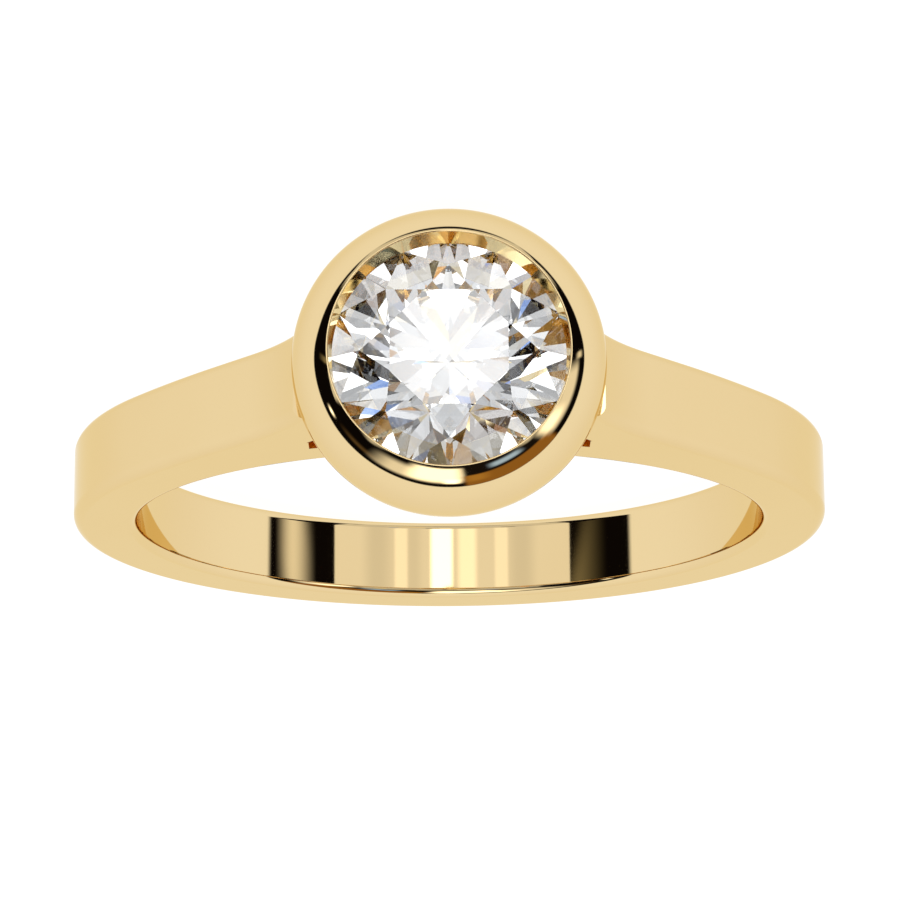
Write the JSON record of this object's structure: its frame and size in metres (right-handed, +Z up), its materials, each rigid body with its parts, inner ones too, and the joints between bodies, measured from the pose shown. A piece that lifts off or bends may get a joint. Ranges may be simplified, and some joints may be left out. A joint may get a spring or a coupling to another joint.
{
  "type": "diamond ring",
  "caption": "Plain gold band whose shoulders rise to a round domed bezel set with a round brilliant; worn on a finger, modelled lying on its side.",
  "frame": {"origin": "middle of the bounding box in X and Y, at the surface that the ring lies on", "axes": "Z up; Y runs from the stone at -Y, across the finger hole, to the far side of the band at +Y; X across the ring. The finger's axis leans 6.6 degrees from +Z towards +Y, because the side of the bezel and the far side of the band touch the surface."},
  "size_m": [0.0208, 0.0254, 0.0077],
  "materials": {
    "gold": "18 karat yellow gold, cast, soldered and polished bright",
    "stone": "colourless diamond, flat facets cut and polished"
  },
  "bodies": {
    "root": {"gold_mounting": "gold", "diamond": "stone"}
  },
  "joints": []
}
